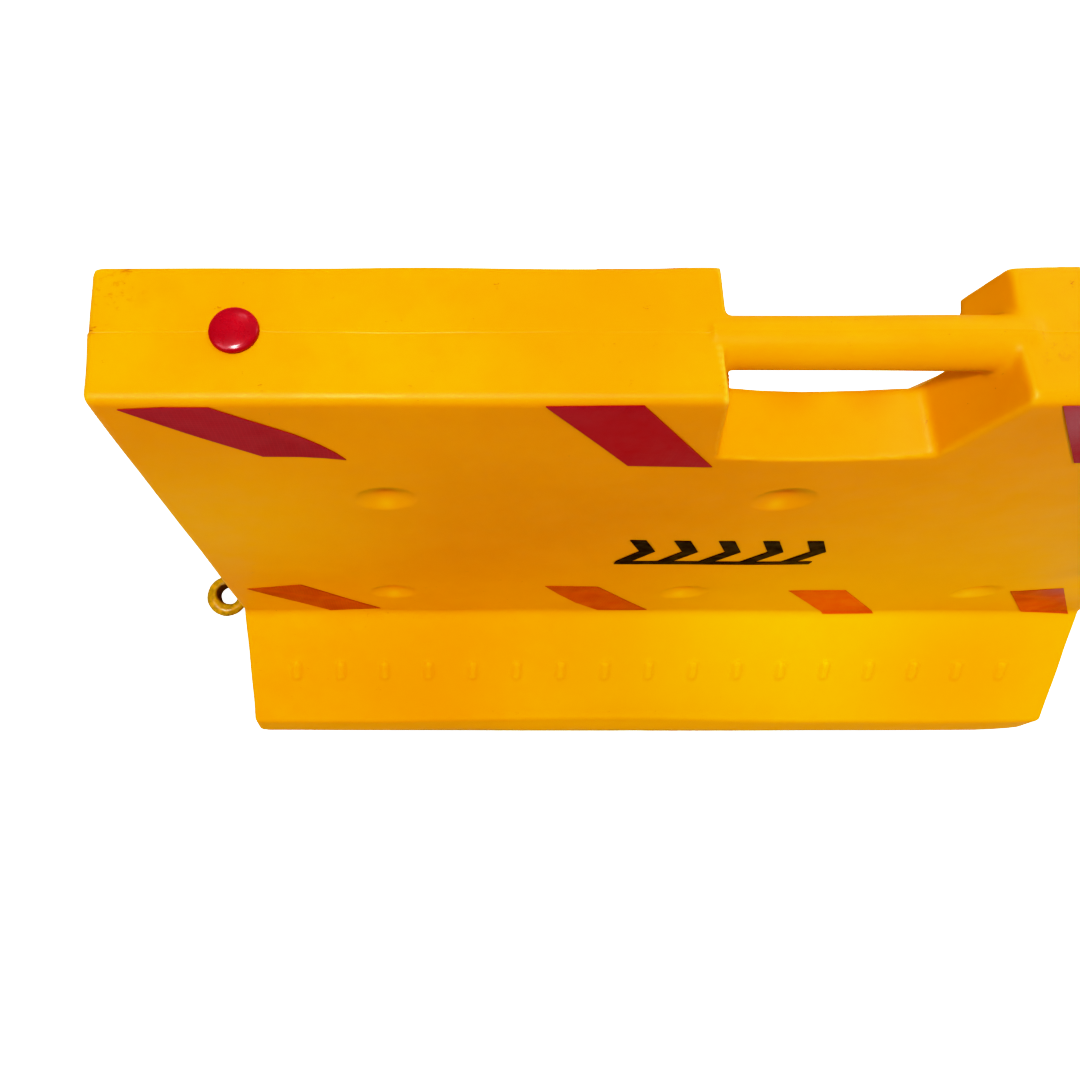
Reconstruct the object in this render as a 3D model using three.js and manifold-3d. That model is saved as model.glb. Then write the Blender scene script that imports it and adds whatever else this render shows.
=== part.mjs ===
// Water-fillable road safety barrier: hollow moulded shell with a carrying handle,
// filler and drain plugs, a coupling eye at each end, reflective tapes and a printed mark.
// Millimetres, +Z up, +X along the barrier, front towards -Y, origin at the base centre.

import * as THREE from 'three';
import { ConvexGeometry } from 'three/addons/geometries/ConvexGeometry.js';
import { mergeVertices } from 'three/addons/utils/BufferGeometryUtils.js';
import Module from 'manifold-3d';

const wasm = await Module();
wasm.setup();

// ---- Driving dimensions -------------------------------------------------

const LENGTH = 1000;
const HEIGHT = 750;
const WALL = 5;
const GAP = 0.3;

// half widths of the section, and the heights where they apply
const DECK_HALF = 49;
const PANEL_FOOT_HALF = 56.6;
const PANEL_FOOT_Z = 195;
const TOE_FOOT_HALF = 175;
const TOE_FOOT_Z = 92;
const LIP_HALF = 185;
const LIP_Z = 58;
const BASE_HALF = 180;
const END_ROUND = 4;

// handle notch: half widths and floor depths at the face and at the mid-plane
const NOTCH_TOP_HALF = 96;
const NOTCH_FLOOR_HALF = 77;
const NOTCH_BACK_FLOOR_HALF = 68.5;
const NOTCH_FLOOR_DEPTH = 88;
const NOTCH_MID_HALF = 66.5;
const NOTCH_MID_DEPTH = 78;
const NOTCH_SAG_X = -20;
const NOTCH_SAG = 5;

// hand pocket behind the handle
const POCKET_MID_HALF = 74;
const POCKET_MID_DEPTH = 50;
const POCKET_FACE_HALF = 138;
const POCKET_FACE_TOP = 42;
const POCKET_SIDE_DEPTH = 150;
const POCKET_FLOOR_HALF = 116;
const POCKET_FLOOR_DEPTH = 194;

// moulded handle tube
const HANDLE_RADIUS = 17.5;
const HANDLE_DEPTH = 15.5;
const HANDLE_HALF = 104;

// round dishes that stiffen both walls; the hand pocket takes the place of the one behind it
const DIMPLE_RADIUS = 25;
const DIMPLE_DEPTH = 5;
const DIMPLE_X = [-318.5, 3, 329];
const DIMPLE_Z = [577, 285];

// raised grip ribs on the toe slope
const RIB_COUNT = 17;
const RIB_PITCH = 54.6;
const RIB_RADIUS = 6;
const RIB_LENGTH = 15;
const RIB_Z = 141;
const RIB_SINK = 3.3;
const RIB_SHIFT = -5.2;

// drainage channels under the base
const CHANNEL_X = [-350, 0, 350];
const CHANNEL_RADIUS = 29.3;
const CHANNEL_Z = -15.3;

// filler and drain
const FILLER_X = -410;
const FILLER_HOLE_RADIUS = 13.5;
const FILLER_CAP_RADIUS = 16.5;
const FILLER_CAP_HEIGHT = 6.5;
const DRAIN_Y = 110;
const DRAIN_Z = 34;
const DRAIN_HOLE_RADIUS = 10.5;
const DRAIN_CAP_RADIUS = 15;
const SEAL_THICKNESS = 1.4;

// coupling eyes
const EYE_Z = { left: 48, right: 68 };
const EYE_REACH = 54.7;
const EYE_RING_RADIUS = 19;
const EYE_ROD_RADIUS = 8.3;
const SHANK_RADIUS = 7.7;
const SHANK_DEPTH = 30;
const INSERT_RADIUS = 13;
const INSERT_LENGTH = 34;
const BOSS_RADIUS = 20;
const BOSS_LENGTH = 45;
const WASHER_RADIUS = 17;
const WASHER_THICKNESS = 3;
const NUT_ACROSS_FLATS = 24;
const NUT_THICKNESS = 8;

// reflective tapes: [name, left edge x, top z, drop, lean]
const TAPE_WIDTH = 60;
const TAPE_THICKNESS = 0.5;
const TAPES = [
  ['upper_tape_1', -484, 743, 79, 81],
  ['upper_tape_2', -212, 744, 98, 74],
  ['upper_tape_3', 113, 744, 92, 70],
  ['upper_tape_4', 352, 744, 98, 74],
  ['lower_tape_1', -479, 306, 102, 84],
  ['lower_tape_2', -154, 304, 102, 77],
  ['lower_tape_3', 118, 288, 85, 72],
  ['lower_tape_4', 369, 290, 87, 62],
];
// on the back this one sits further out, clear of the hand pocket
const MOVED_TAPE = 'upper_tape_2';
const MOVED_TAPE_SHIFT = -72;

// printed chevron mark
const MARK_HALF = 97;
const MARK_Z = 394;
const MARK_RULE = 9;
const MARK_HEIGHT = 74;
const CHEVRONS = 5;
const CHEVRON_REACH = 16;
const CHEVRON_STROKE = 15;

const YELLOW = 0xf7ad00;
const RED_TAPE = 0xa8182a;
const ORANGE_TAPE = 0xc43a10;

// ---- Helpers ------------------------------------------------------------

function solid(geometry) {
  const bare = geometry.clone();
  bare.deleteAttribute('normal');
  bare.deleteAttribute('uv');
  const welded = mergeVertices(bare, 1e-4);
  const vertProperties = new Float32Array(welded.attributes.position.array);
  const triVerts = new Uint32Array(welded.index.array);
  return new wasm.Manifold(new wasm.Mesh({ numProp: 3, vertProperties, triVerts }));
}

function toGeometry(manifold) {
  const mesh = manifold.getMesh();
  const geometry = new THREE.BufferGeometry();
  geometry.setAttribute('position', new THREE.BufferAttribute(new Float32Array(mesh.vertProperties), 3));
  geometry.setIndex(new THREE.BufferAttribute(new Uint32Array(mesh.triVerts), 1));
  geometry.computeVertexNormals();
  return geometry;
}

function node(name, geometry, color, roughness, metalness = 0) {
  const material = new THREE.MeshStandardMaterial({ color, roughness, metalness });
  const mesh = new THREE.Mesh(geometry, material);
  mesh.name = name;
  return mesh;
}

// moves each side of a counter-clockwise outline inwards by a distance
function insetOutline(points, distance) {
  const count = points.length;
  const sides = points.map((point, i) => {
    const next = points[(i + 1) % count];
    const along = next.clone().sub(point).normalize();
    const inward = new THREE.Vector2(-along.y, along.x);
    return { start: point.clone().addScaledVector(inward, distance), along };
  });
  return sides.map((side, i) => {
    const before = sides[(i + count - 1) % count];
    const cross = before.along.cross(side.along);
    const offset = side.start.clone().sub(before.start);
    return before.start.clone().addScaledVector(before.along, offset.cross(side.along) / cross);
  });
}

// outline with each corner rounded by a curve that starts `reach` from the corner
function roundedShape(points, reaches) {
  const shape = new THREE.Shape();
  points.forEach((corner, i) => {
    const before = points[(i + points.length - 1) % points.length];
    const after = points[(i + 1) % points.length];
    const reach = reaches[i];
    const enter = before.clone().sub(corner).setLength(reach).add(corner);
    const leave = after.clone().sub(corner).setLength(reach).add(corner);
    if (i === 0) shape.moveTo(enter.x, enter.y);
    else shape.lineTo(enter.x, enter.y);
    shape.quadraticCurveTo(corner.x, corner.y, leave.x, leave.y);
  });
  shape.closePath();
  return shape;
}

// shape drawn in Y and Z, extruded along X about the middle
function extrudeAlongX(shape, length, bevel) {
  const geometry = new THREE.ExtrudeGeometry(shape, {
    depth: length - 2 * bevel,
    steps: 1,
    curveSegments: 4,
    bevelEnabled: bevel > 0,
    bevelThickness: bevel,
    bevelSize: bevel,
    bevelOffset: -bevel,
    bevelSegments: 3,
  });
  const turn = new THREE.Matrix4().makeBasis(
    new THREE.Vector3(0, 1, 0),
    new THREE.Vector3(0, 0, 1),
    new THREE.Vector3(1, 0, 0),
  );
  return geometry.applyMatrix4(turn).translate(bevel - length / 2, 0, 0);
}

function cylinderX(radius, from, to, y, z, segments = 28) {
  return new THREE.CylinderGeometry(radius, radius, to - from, segments)
    .rotateZ(Math.PI / 2)
    .translate((from + to) / 2, y, z);
}

function lathe(profile, segments = 32) {
  return new THREE.LatheGeometry(profile.map(([r, h]) => new THREE.Vector2(r, h)), segments);
}

// the same shape on the other side of the barrier
function turned(geometry) {
  return geometry.clone().rotateZ(Math.PI);
}

function union(geometries) {
  return geometries.map(solid).reduce((whole, piece) => whole.add(piece));
}

// ---- Section and shell --------------------------------------------------

function sectionOutline(inset) {
  const right = [
    [BASE_HALF, 0],
    [LIP_HALF, LIP_Z],
    [TOE_FOOT_HALF, TOE_FOOT_Z],
    [PANEL_FOOT_HALF, PANEL_FOOT_Z],
    [DECK_HALF, HEIGHT],
  ];
  const left = [...right].reverse().map(([y, z]) => [-y, z]);
  const corners = [...right, ...left].map(([y, z]) => new THREE.Vector2(y, z));
  return insetOutline(corners, inset);
}

function section(inset, rounds) {
  return roundedShape(sectionOutline(inset), [...rounds, ...[...rounds].reverse()]);
}

// notch from the front face to the mid-plane, narrowing as it goes in
function notchGeometry(grow, floorHalf) {
  const above = HEIGHT + 10;
  const slope = 1 + 10 / NOTCH_FLOOR_DEPTH * 0.22;
  const points = [];
  for (const side of [-1, 1]) {
    const top = side * (NOTCH_TOP_HALF * slope + grow);
    points.push(new THREE.Vector3(top, -DECK_HALF - 14, above));
    points.push(new THREE.Vector3(top, grow, above));
    points.push(new THREE.Vector3(
      side * (floorHalf + 3 + grow), -DECK_HALF - 14, HEIGHT - NOTCH_FLOOR_DEPTH - 3 - grow,
    ));
    points.push(new THREE.Vector3(
      side * (NOTCH_MID_HALF + grow), grow, HEIGHT - NOTCH_MID_DEPTH - grow,
    ));
  }
  points.push(
    new THREE.Vector3(NOTCH_SAG_X, -DECK_HALF - 14, HEIGHT - NOTCH_FLOOR_DEPTH - 3 - NOTCH_SAG - grow),
    new THREE.Vector3(NOTCH_SAG_X, grow, HEIGHT - NOTCH_MID_DEPTH - NOTCH_SAG - grow),
  );
  return new ConvexGeometry(points);
}

// pocket that opens behind the handle, flared towards the back face
function pocketGeometry(grow) {
  const back = DECK_HALF + 4;
  const points = [];
  for (const side of [-1, 1]) {
    points.push(
      new THREE.Vector3(side * (POCKET_MID_HALF + grow), -1.2 * grow, HEIGHT - POCKET_MID_DEPTH + grow),
      new THREE.Vector3(side * (NOTCH_MID_HALF + grow), -1.2 * grow, HEIGHT - NOTCH_MID_DEPTH - 0.3 * grow),
      new THREE.Vector3(side * (POCKET_FACE_HALF + 1.8 * grow), back, HEIGHT - POCKET_FACE_TOP + grow),
      new THREE.Vector3(side * (POCKET_FACE_HALF + 1.8 * grow), back, HEIGHT - POCKET_SIDE_DEPTH),
      new THREE.Vector3(
        side * (POCKET_FLOOR_HALF + 1.8 * grow), back, HEIGHT - POCKET_FLOOR_DEPTH - 2.4 * grow,
      ),
    );
  }
  return new ConvexGeometry(points);
}

function handleOpening(grow) {
  const front = notchGeometry(grow, NOTCH_FLOOR_HALF);
  const back = turned(notchGeometry(grow, NOTCH_BACK_FLOOR_HALF));
  return union([front, back, pocketGeometry(grow)]);
}

function panelY(z) {
  const share = (HEIGHT - z) / (HEIGHT - PANEL_FOOT_Z);
  return -(DECK_HALF + (PANEL_FOOT_HALF - DECK_HALF) * share);
}

function dimpleCutters(profile) {
  const dishes = [];
  for (const z of DIMPLE_Z) {
    for (const x of DIMPLE_X) {
      const dish = lathe(profile, 24).rotateX(Math.PI / 2).translate(x, panelY(z), z);
      const behindPocket = Math.abs(x) < POCKET_MID_HALF && z === DIMPLE_Z[0];
      dishes.push(dish);
      if (!behindPocket) dishes.push(turned(dish));
    }
  }
  return union(dishes);
}

function gripRibs() {
  const run = TOE_FOOT_HALF - PANEL_FOOT_HALF;
  const rise = PANEL_FOOT_Z - TOE_FOOT_Z;
  const slope = Math.atan2(run, rise);
  const share = (PANEL_FOOT_Z - RIB_Z) / rise;
  const y = -(PANEL_FOOT_HALF + run * share) + RIB_SINK * Math.cos(slope);
  const z = RIB_Z - RIB_SINK * Math.sin(slope);
  const ribs = [];
  for (let i = 0; i < RIB_COUNT; i += 1) {
    const x = (i - (RIB_COUNT - 1) / 2) * RIB_PITCH + RIB_SHIFT;
    const rib = new THREE.CapsuleGeometry(RIB_RADIUS, RIB_LENGTH, 3, 10)
      .rotateX(Math.PI / 2 - slope)
      .translate(x, y, z);
    ribs.push(rib, turned(rib));
  }
  return union(ribs);
}

function channelCutters(grow) {
  const radius = CHANNEL_RADIUS + grow;
  return union(CHANNEL_X.map((x) => (
    new THREE.CylinderGeometry(radius, radius, 420, 32).translate(x, 0, CHANNEL_Z)
  )));
}

function endBoss(side, radius, length, z) {
  const outer = side * (LENGTH / 2 + 1);
  const inner = side * (LENGTH / 2 - length);
  return cylinderX(radius, Math.min(outer, inner), Math.max(outer, inner), 0, z);
}

function cavity() {
  const room = solid(extrudeAlongX(section(WALL, [6, 10, 6, 6, 4]), LENGTH - 2 * WALL, 0));
  const deep = DIMPLE_DEPTH + WALL;
  const kept = [
    handleOpening(WALL),
    dimpleCutters([
      [0, -deep], [20, -deep], [28, -4.4], [DIMPLE_RADIUS + 5.5, 0], [DIMPLE_RADIUS + 5.5, 6], [0, 6],
    ]),
    channelCutters(WALL),
    solid(endBoss(-1, BOSS_RADIUS, BOSS_LENGTH, EYE_Z.left)),
    solid(endBoss(1, BOSS_RADIUS, BOSS_LENGTH, EYE_Z.right)),
  ];
  return kept.reduce((left, piece) => left.subtract(piece), room);
}

function barrierBody() {
  const handleZ = HEIGHT - HANDLE_DEPTH;
  const handle = solid(cylinderX(HANDLE_RADIUS, -HANDLE_HALF, HANDLE_HALF, 0, handleZ, 36));
  const handleBore = solid(
    cylinderX(HANDLE_RADIUS - WALL, -HANDLE_HALF - 10, HANDLE_HALF + 10, 0, handleZ, 24),
  );
  const dimples = dimpleCutters([
    [0, -DIMPLE_DEPTH], [17.5, -DIMPLE_DEPTH], [DIMPLE_RADIUS, 0], [DIMPLE_RADIUS + 1, 6], [0, 6],
  ]);
  const filler = new THREE.CylinderGeometry(FILLER_HOLE_RADIUS, FILLER_HOLE_RADIUS, 60, 32)
    .rotateX(Math.PI / 2)
    .translate(FILLER_X, 0, HEIGHT);
  const drain = cylinderX(DRAIN_HOLE_RADIUS, LENGTH / 2 - 30, LENGTH / 2 + 30, DRAIN_Y, DRAIN_Z);
  const holes = union([
    filler,
    drain,
    endBoss(-1, INSERT_RADIUS + GAP, INSERT_LENGTH + GAP, EYE_Z.left),
    endBoss(1, INSERT_RADIUS + GAP, INSERT_LENGTH + GAP, EYE_Z.right),
  ]);
  const body = solid(extrudeAlongX(section(0, [8, 14, 10, 8, 6]), LENGTH, END_ROUND))
    .add(gripRibs())
    .subtract(handleOpening(0))
    .subtract(dimples)
    .subtract(channelCutters(0))
    .add(handle)
    .subtract(cavity())
    .subtract(handleBore)
    .subtract(holes);
  return node('barrier_body', toGeometry(body), YELLOW, 0.45);
}

// ---- Plugs --------------------------------------------------------------

function domedPlug(name, capRadius, capHeight, holeRadius, stemLength) {
  const stem = holeRadius - GAP;
  const profile = [
    [0, -stemLength], [stem - 2, -stemLength], [stem, -stemLength + 3], [stem, 0],
    [capRadius - 0.6, 0], [capRadius, 0.8], [capRadius * 0.93, capHeight * 0.45],
    [capRadius * 0.72, capHeight * 0.76], [capRadius * 0.4, capHeight * 0.95], [0, capHeight],
  ];
  return node(name, lathe(profile, 40), 0xc4102a, 0.28);
}

function plugSeal(name, outer, inner) {
  const profile = [[inner, 0], [outer, 0], [outer, SEAL_THICKNESS], [inner, SEAL_THICKNESS], [inner, 0]];
  return node(name, lathe(profile, 40), 0x1c1c1e, 0.8);
}

function fillerAssembly() {
  const group = new THREE.Group();
  const plug = domedPlug('fill_plug', FILLER_CAP_RADIUS, FILLER_CAP_HEIGHT, FILLER_HOLE_RADIUS, 18);
  const seal = plugSeal('fill_plug_seal', FILLER_CAP_RADIUS - 1, FILLER_HOLE_RADIUS);
  plug.position.y = SEAL_THICKNESS + 2 * GAP;
  seal.position.y = GAP;
  group.add(plug, seal);
  group.rotation.x = Math.PI / 2;
  group.position.set(FILLER_X, 0, HEIGHT);
  return group;
}

function drainAssembly() {
  const group = new THREE.Group();
  const plug = domedPlug('drain_plug', DRAIN_CAP_RADIUS, 6, DRAIN_HOLE_RADIUS, 16);
  const seal = plugSeal('drain_plug_seal', DRAIN_CAP_RADIUS - 1, DRAIN_HOLE_RADIUS);
  plug.position.y = SEAL_THICKNESS + 2 * GAP;
  seal.position.y = GAP;
  group.add(plug, seal);
  group.rotation.z = -Math.PI / 2;
  group.position.set(LENGTH / 2, DRAIN_Y, DRAIN_Z);
  return group;
}

// ---- Coupling eyes ------------------------------------------------------

// built pointing along +X from the end wall; the left one is turned half round
function eyeBolt(side) {
  const ring = new THREE.TorusGeometry(EYE_RING_RADIUS, EYE_ROD_RADIUS, 20, 44)
    .translate(EYE_REACH, 0, 0);
  const shank = cylinderX(SHANK_RADIUS, -SHANK_DEPTH, EYE_REACH - EYE_RING_RADIUS, 0, 0, 24);
  const bolt = solid(ring).add(solid(shank));
  return node(`${side}_eye_bolt`, toGeometry(bolt), 0xc79a1c, 0.5, 0.4);
}

function threadedInsert(side) {
  const bore = SHANK_RADIUS + GAP;
  const profile = [
    [0, -INSERT_LENGTH], [INSERT_RADIUS, -INSERT_LENGTH], [INSERT_RADIUS, 0], [bore, 0],
    [bore, -SHANK_DEPTH - 1], [0, -SHANK_DEPTH - 1],
  ];
  const geometry = lathe(profile, 28).rotateZ(-Math.PI / 2);
  return node(`${side}_threaded_insert`, geometry, 0xb08d3c, 0.4, 0.9);
}

function flatWasher(side) {
  const inner = SHANK_RADIUS + GAP;
  const profile = [
    [inner, 0], [WASHER_RADIUS, 0], [WASHER_RADIUS, WASHER_THICKNESS], [inner, WASHER_THICKNESS], [inner, 0],
  ];
  const washer = node(`${side}_eye_washer`, lathe(profile, 32).rotateZ(-Math.PI / 2), 0xa8abad, 0.4, 0.9);
  washer.position.x = GAP;
  return washer;
}

function jamNut(side) {
  const corner = NUT_ACROSS_FLATS / 2 / Math.cos(Math.PI / 6);
  const hex = new THREE.CylinderGeometry(corner, corner, NUT_THICKNESS, 6).rotateZ(Math.PI / 2);
  const bore = cylinderX(SHANK_RADIUS + GAP, -NUT_THICKNESS, NUT_THICKNESS, 0, 0, 24);
  const nut = node(`${side}_jam_nut`, toGeometry(solid(hex).subtract(solid(bore))), 0x9fa2a4, 0.4, 0.9);
  nut.position.x = WASHER_THICKNESS + 2 * GAP + NUT_THICKNESS / 2;
  return nut;
}

function eyeAssembly(side) {
  const group = new THREE.Group();
  group.add(eyeBolt(side), threadedInsert(side), flatWasher(side), jamNut(side));
  const left = side === 'left';
  group.rotation.z = left ? Math.PI : 0;
  group.position.set((left ? -1 : 1) * LENGTH / 2, 0, EYE_Z[side]);
  return group;
}

// ---- Tapes and mark -----------------------------------------------------

function panelSheet(name, shape, thickness, color, roughness) {
  const geometry = new THREE.ExtrudeGeometry(shape, { depth: thickness, bevelEnabled: false });
  return node(name, geometry, color, roughness);
}

function tape(side, [label, start, top, drop, lean]) {
  const left = side === 'back' && label === MOVED_TAPE ? start + MOVED_TAPE_SHIFT : start;
  const shape = new THREE.Shape();
  shape.moveTo(left, top);
  shape.lineTo(left + lean, top - drop);
  shape.lineTo(left + lean + TAPE_WIDTH, top - drop);
  shape.lineTo(left + TAPE_WIDTH, top);
  shape.closePath();
  const color = label.startsWith('upper') ? RED_TAPE : ORANGE_TAPE;
  return panelSheet(`${side}_${label}`, shape, TAPE_THICKNESS, color, 0.35);
}

// a row of arrow-like chevrons standing on a rule
function chevronMark(side) {
  const ruleTop = MARK_Z + MARK_RULE;
  const top = MARK_Z + MARK_HEIGHT;
  const middle = (ruleTop + top) / 2;
  const pitch = (2 * MARK_HALF - CHEVRON_REACH - CHEVRON_STROKE) / (CHEVRONS - 1);
  const shape = new THREE.Shape();
  shape.moveTo(-MARK_HALF, MARK_Z);
  shape.lineTo(MARK_HALF, MARK_Z);
  shape.lineTo(MARK_HALF, ruleTop);
  for (let i = CHEVRONS - 1; i >= 0; i -= 1) {
    const x = -MARK_HALF + i * pitch;
    shape.lineTo(x + CHEVRON_STROKE, ruleTop);
    shape.lineTo(x + CHEVRON_STROKE + CHEVRON_REACH, middle);
    shape.lineTo(x + CHEVRON_STROKE, top);
    shape.lineTo(x, top);
    shape.lineTo(x + CHEVRON_REACH, middle);
    shape.lineTo(x, ruleTop);
  }
  shape.closePath();
  return panelSheet(`${side}_chevron_mark`, shape, TAPE_THICKNESS, 0x15161a, 0.5);
}

// sheets are drawn with x along the barrier and y as height, then laid on the leaning panel
function panelGraphics(side) {
  const sheets = new THREE.Group();
  sheets.add(...TAPES.map((entry) => tape(side, entry)), chevronMark(side));
  const lean = Math.atan2(PANEL_FOOT_HALF - DECK_HALF, HEIGHT - PANEL_FOOT_Z);
  sheets.position.y = -HEIGHT;
  sheets.position.z = GAP;
  const panel = new THREE.Group();
  panel.add(sheets);
  panel.rotation.x = Math.PI / 2 - lean;
  panel.position.set(0, -DECK_HALF, HEIGHT);
  const face = new THREE.Group();
  face.add(panel);
  face.rotation.z = side === 'front' ? 0 : Math.PI;
  return face;
}

// ---- Assembly -----------------------------------------------------------

const barrier = new THREE.Group();
barrier.add(
  barrierBody(),
  fillerAssembly(),
  drainAssembly(),
  eyeAssembly('left'),
  eyeAssembly('right'),
  panelGraphics('front'),
  panelGraphics('back'),
);

export default barrier;
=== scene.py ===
"""Looks for the water-fillable road barrier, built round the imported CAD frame. Lengths in metres."""

import math

import bmesh
import bpy
import numpy as np
from mathutils import Matrix, Vector
from mathutils.bvhtree import BVHTree


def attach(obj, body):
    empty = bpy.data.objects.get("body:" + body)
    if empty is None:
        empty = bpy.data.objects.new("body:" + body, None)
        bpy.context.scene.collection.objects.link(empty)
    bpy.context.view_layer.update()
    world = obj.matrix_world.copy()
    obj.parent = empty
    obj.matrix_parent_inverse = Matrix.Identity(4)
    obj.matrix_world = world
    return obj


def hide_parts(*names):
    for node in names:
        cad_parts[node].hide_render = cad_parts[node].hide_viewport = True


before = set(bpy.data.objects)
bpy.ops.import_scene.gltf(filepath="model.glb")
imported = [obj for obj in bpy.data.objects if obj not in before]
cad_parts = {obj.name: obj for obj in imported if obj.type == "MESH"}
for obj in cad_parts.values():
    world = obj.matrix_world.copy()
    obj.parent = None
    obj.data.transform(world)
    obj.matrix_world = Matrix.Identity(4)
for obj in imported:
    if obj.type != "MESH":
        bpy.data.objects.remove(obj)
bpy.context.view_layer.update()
MM = 0.001

# ---- Sizes of the moulded body, in millimetres ---------------------------

HALF_LENGTH = 500.0
HEIGHT = 750.0
DECK_HALF = 49.0
PANEL_FOOT_HALF, PANEL_FOOT_Z = 56.6, 195.0
TOE_FOOT_HALF, TOE_FOOT_Z = 178.0, 91.0
LIP_HALF, LIP_Z = 184.0, 51.0
BASE_HALF = 180.0
HANDLE_RADIUS, HANDLE_Z, HANDLE_HALF = 17.9, 734.6, 104.0
HANDLE_OFFSET, FLARE_START, FLARE_RUN = 0.5, 80.0, 16.0
FLARE_LEFT, FLARE_RIGHT = 0.3, 1.8
NOTCH_TOP_HALF, NOTCH_MIDDLE_HALF, NOTCH_RIGHT_MIDDLE_HALF = 97.6, 66.5, 70.5
NOTCH_FRONT_HALF, NOTCH_BACK_HALF, NOTCH_DRIFT = 80.5, 71.5, 4.8
NOTCH_FACE_Z, NOTCH_RISE, NOTCH_TOP_Z = 661.5, 11.5, 760.0
POCKET_DEPTH = 52.0
DISH_DEPTH = 6.2
DISH_X, DISH_Z = (-318.5, 3.0, 329.0), (577.0, 285.0)
RIB_COUNT, RIB_PITCH, RIB_SHIFT, RIB_Z = 17, 54.6, -5.2, 141.0
RIB_RADIUS, RIB_STRETCH, RIB_FLATNESS, RIB_SINK = 6.5, 7.5, 0.62, 0.8
CHANNEL_X = (-350.0, 0.0, 350.0)
CHANNEL_RADIUS, CHANNEL_AXIS_Z = 29.3, -15.3
FILLER_X, FILLER_BORE = -410.0, 14.6
DRAIN_Y, DRAIN_Z, DRAIN_BORE = 110.0, 34.0, 11.6
EYE_Z = {"left": 48.0, "right": 68.0}
INSERT_BORE, INSERT_BORE_DEPTH = 13.4, 36.0
EYE_REACH, EYE_RING, EYE_ROD, EYE_OFF_AXIS = 51.0, 19.7, 8.35, 2.2
ROD_RADIUS, THREAD_PITCH, THREAD_DEPTH = 7.7, 2.0, 0.9
CAP_LIFT, SEAL_SINK, WASHER_LIFT = 2.0, 1.7, 0.3
VOXEL = 2.0 * MM
EYE_VOXEL = 0.7 * MM
PARTING_Y, PARTING_HEIGHT = 0.0, 0.40
PARTING_EDGES = (-1.8, -1.1, -0.6, -0.2, 0.2, 0.6, 1.1, 1.8)
END_LEAN_LEFT, END_LEAN_RIGHT = 4.6, 1.0
END_PUSH_LEFT, END_PUSH_RIGHT = 0.4, 6.0
TOE_CORNER_PULL, TOE_BOW, TOE_PULL, PORT_DOME = 3.0, 1.2, 4.5, 0.45
# centre x, centre z, half width, half height and depth of the places where the wall drew in as it cooled
SINKS = (
    (432, 330, 52, 46, 7.0),
    (-400, 320, 60, 40, 1.5),
    (-200, 480, 130, 150, 2.0),
    (-372, 690, 45, 30, 0.8),
)
SHEET_LIFT = 0.35 * MM
SHEET_THICKNESS = 0.45 * MM

# name and outline corners as (x, z) on the front; the back ones are the same, turned end for end
TAPES = (
    ("upper_tape_1", (
        (-484, 740), (-455, 743.2), (-425, 743.2), (-391, 714.5), (-375, 700), (-361, 684.5),
        (-351, 671.5), (-344, 659.5), (-360, 662.8), (-376, 664.8), (-403, 665.5), (-446, 704),
    )),
    ("upper_tape_2", ((-212, 744.5), (-149.5, 744.5), (-76.3, 645), (-138.5, 646.5))),
    ("upper_tape_3", ((114.5, 744.5), (174.5, 744.5), (243.5, 653), (183, 654.5))),
    ("upper_tape_4", ((352, 744), (412, 744), (486, 646), (426, 646))),
    ("lower_tape_1", ((-479, 300), (-419, 310.5), (-336, 211), (-396, 200))),
    ("lower_tape_2", ((-154, 310), (-134, 275), (-109, 238), (-77, 203.5), (-18, 203.5), (-96, 306))),
    ("lower_tape_3", ((118, 289), (179, 294), (256, 195), (195, 194.5))),
    ("lower_tape_4", ((365, 286), (422, 290), (491, 194), (431, 199))),
)

# the one tape that sits further out on the back, clear of the hand pocket
MOVED_TAPE, MOVED_TAPE_SHIFT = "back_upper_tape_2", -72

# ---- Mesh helpers --------------------------------------------------------


def link(name, mesh):
    obj = bpy.data.objects.new(name, mesh)
    bpy.context.scene.collection.objects.link(obj)
    return obj


def from_bmesh(name, bm):
    mesh = bpy.data.meshes.new(name)
    bmesh.ops.recalc_face_normals(bm, faces=bm.faces[:])
    bm.to_mesh(mesh)
    bm.free()
    return link(name, mesh)


def hull(points):
    bm = bmesh.new()
    for point in points:
        bm.verts.new(Vector(point) * MM)
    made = bmesh.ops.convex_hull(bm, input=bm.verts[:])
    loose = [v for v in made["geom_interior"] if isinstance(v, bmesh.types.BMVert)]
    bmesh.ops.delete(bm, geom=loose, context="VERTS")
    return from_bmesh("hull", bm)


def lathe(name, profile, segments, turn=Matrix.Identity(4)):
    """Closed solid turned about local Z from (radius, height) pairs in millimetres."""
    bm = bmesh.new()
    rings = []
    for radius, height in profile:
        if radius <= 0:
            rings.append([bm.verts.new((0, 0, height * MM))])
            continue
        angles = [2 * math.pi * i / segments for i in range(segments)]
        rings.append([
            bm.verts.new((radius * MM * math.cos(a), radius * MM * math.sin(a), height * MM))
            for a in angles
        ])
    closed = list(zip(rings, rings[1:]))
    if len(rings[0]) > 1 and len(rings[-1]) > 1:
        closed.append((rings[-1], rings[0]))
    for lower, upper in closed:
        for i in range(segments):
            j = (i + 1) % segments
            ring = [lower[k % len(lower)] for k in (i, j)] + [upper[k % len(upper)] for k in (j, i)]
            corners = list(dict.fromkeys(ring))
            if len(corners) > 2:
                bm.faces.new(corners)
    bm.transform(turn)
    return from_bmesh(name, bm)


def join(name, objects):
    bm = bmesh.new()
    for obj in objects:
        bm.from_mesh(obj.data)
        bpy.data.objects.remove(obj)
    mesh = bpy.data.meshes.new(name)
    bm.to_mesh(mesh)
    bm.free()
    return link(name, mesh)


def turned(obj):
    """The same shape on the other side of the barrier."""
    mesh = obj.data.copy()
    mesh.transform(Matrix.Rotation(math.pi, 4, "Z"))
    return link(obj.name + "_turned", mesh)


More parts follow.
